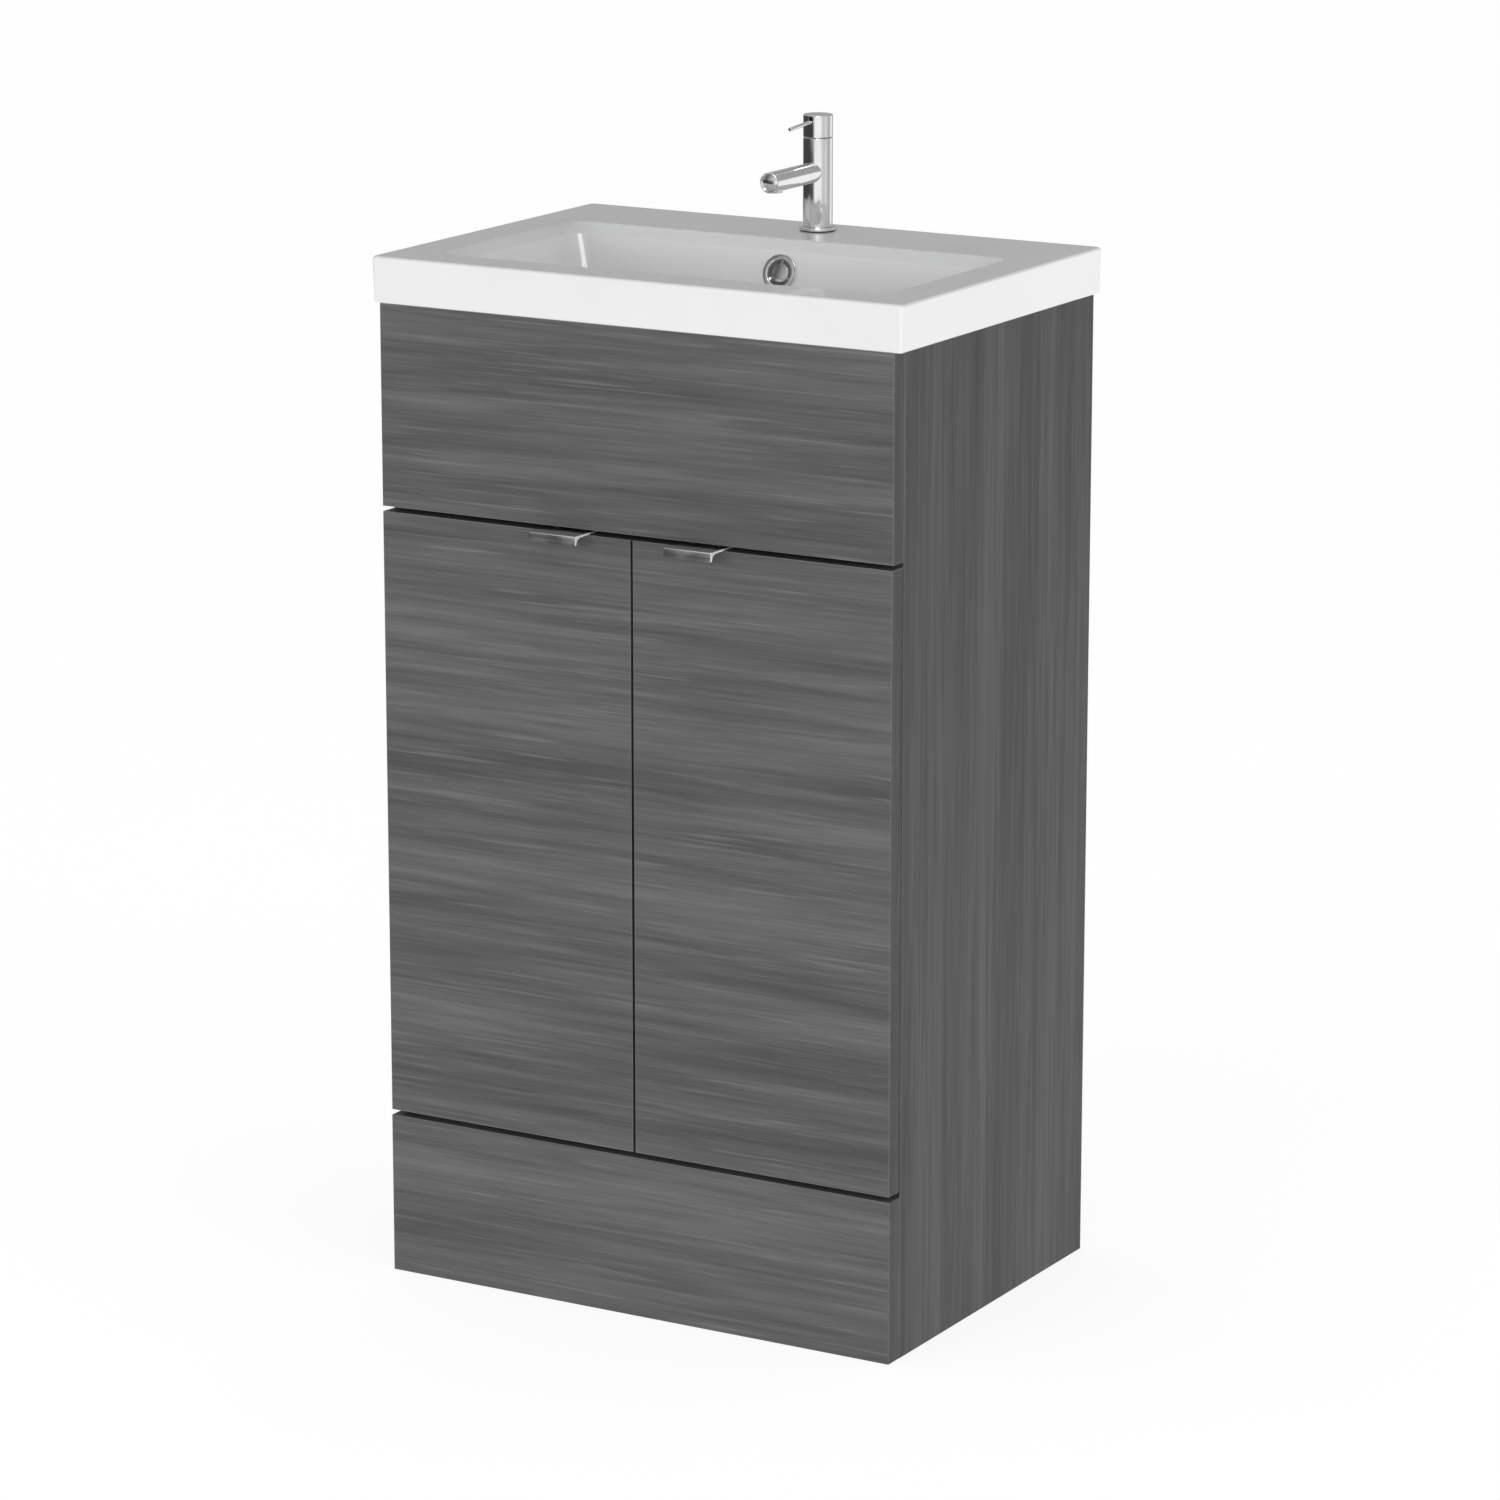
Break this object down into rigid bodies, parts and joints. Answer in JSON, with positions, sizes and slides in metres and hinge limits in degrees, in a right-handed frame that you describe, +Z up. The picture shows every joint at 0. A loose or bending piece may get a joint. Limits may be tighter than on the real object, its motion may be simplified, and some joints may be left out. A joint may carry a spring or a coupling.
{
  "type": "bathroom vanity cabinet",
  "caption": "Floor-standing bathroom cabinet with a pair of hinged doors, finger pulls, a rectangular one-piece basin, a pin-lever mixer tap and a push-to-open waste.",
  "frame": {"origin": "centre of the outline on the floor", "axes": "+Z up, front faces -Y, wall at +Y, +X to the right seen from the front"},
  "size_m": [0.516, 0.377, 1.008],
  "materials": {
    "front_boards": "satin laminate with a horizontal grain",
    "side_boards": "satin laminate with a vertical grain",
    "inner_boards": "satin laminate",
    "dark_rail": "matt dark laminate",
    "basin": "gloss white",
    "chrome": "polished",
    "zinc_steel": "nickel or zinc plated",
    "brass": "machined",
    "rubber": "matt",
    "plastic": "moulded",
    "bumper": "soft clear plastic",
    "beech": "fluted dowel"
  },
  "bodies": {
    "cabinet": {"left_side_panel": "side_boards", "right_side_panel": "side_boards", "bottom_panel": "inner_boards", "shelf": "inner_boards", "shelf_pegs": "zinc_steel", "top_front_panel": "front_boards", "plinth_panel": "front_boards", "front_rail": "dark_rail", "back_top_rail": "inner_boards", "back_lower_rail": "inner_boards", "cam_locks": "zinc_steel", "cam_bolts": "zinc_steel", "dowels": "beech", "corner_brackets": "zinc_steel", "bracket_screws": "zinc_steel", "left_hinge_arms": "zinc_steel", "right_hinge_arms": "zinc_steel", "left_hinge_pins": "zinc_steel", "right_hinge_pins": "zinc_steel", "left_hinge_plates": "zinc_steel", "right_hinge_plates": "zinc_steel", "left_plate_screws": "zinc_steel", "right_plate_screws": "zinc_steel", "basin": "basin", "overflow_ring": "chrome", "overflow_disc": "chrome", "waste_body": "chrome", "waste_top_seal": "rubber", "waste_bottom_seal": "rubber", "waste_nut": "brass", "tap_seal": "rubber", "tap_base_ring": "chrome", "tap_body": "chrome", "tap_spout": "chrome", "tap_aerator": "plastic", "tap_cartridge": "plastic", "tap_stud": "brass", "tap_rubber_washer": "rubber", "tap_clamp_plate": "zinc_steel", "tap_nut": "brass"},
    "left_door": {"left_door_panel": "front_boards", "left_handle": "chrome", "left_handle_screws": "zinc_steel", "left_door_bumpers": "bumper", "left_hinge_cups": "zinc_steel", "left_cup_screws": "zinc_steel"},
    "right_door": {"right_door_panel": "front_boards", "right_handle": "chrome", "right_handle_screws": "zinc_steel", "right_door_bumpers": "bumper", "right_hinge_cups": "zinc_steel", "right_cup_screws": "zinc_steel"},
    "left_links": {"left_hinge_links": "zinc_steel"},
    "right_links": {"right_hinge_links": "zinc_steel"},
    "tap_turning_cap": {"tap_cap": "chrome"},
    "tap_pin_lever": {"tap_lever": "chrome"},
    "plug": {"waste_plug": "chrome"}
  },
  "joints": [
    {"name": "left_door_hinge", "type": "hinge", "parent": "cabinet", "child": "left_door", "pos_m": [-0.2465, -0.166, 0.417], "axis": [0, 0, -1], "range_deg": [0, 95]},
    {"name": "right_door_hinge", "type": "hinge", "parent": "cabinet", "child": "right_door", "pos_m": [0.2465, -0.166, 0.417], "axis": [0, 0, 1], "range_deg": [0, 95]},
    {"name": "left_link_turn", "type": "hinge", "parent": "cabinet", "child": "left_links", "pos_m": [-0.222, -0.1545, 0.417], "axis": [0, 0, 1], "range_deg": [0, 67]},
    {"name": "right_link_turn", "type": "hinge", "parent": "cabinet", "child": "right_links", "pos_m": [0.222, -0.1545, 0.417], "axis": [0, 0, -1], "range_deg": [0, 67]},
    {"name": "tap_temperature", "type": "hinge", "parent": "cabinet", "child": "tap_turning_cap", "pos_m": [0, 0.1475, 0.996], "axis": [0, 0, 1], "range_deg": [-45, 45]},
    {"name": "tap_lift", "type": "hinge", "parent": "tap_turning_cap", "child": "tap_pin_lever", "pos_m": [0, 0.1415, 1.003], "axis": [-1, 0, 0], "range_deg": [0, 18]},
    {"name": "plug_rise", "type": "slide", "parent": "cabinet", "child": "plug", "axis": [0, 0, 1], "range_m": [0, 0.008]}
  ],
  "couplings": [
    {"joint": "left_link_turn", "follows": "left_door_hinge", "ratio": 0.7},
    {"joint": "right_link_turn", "follows": "right_door_hinge", "ratio": 0.7}
  ]
}
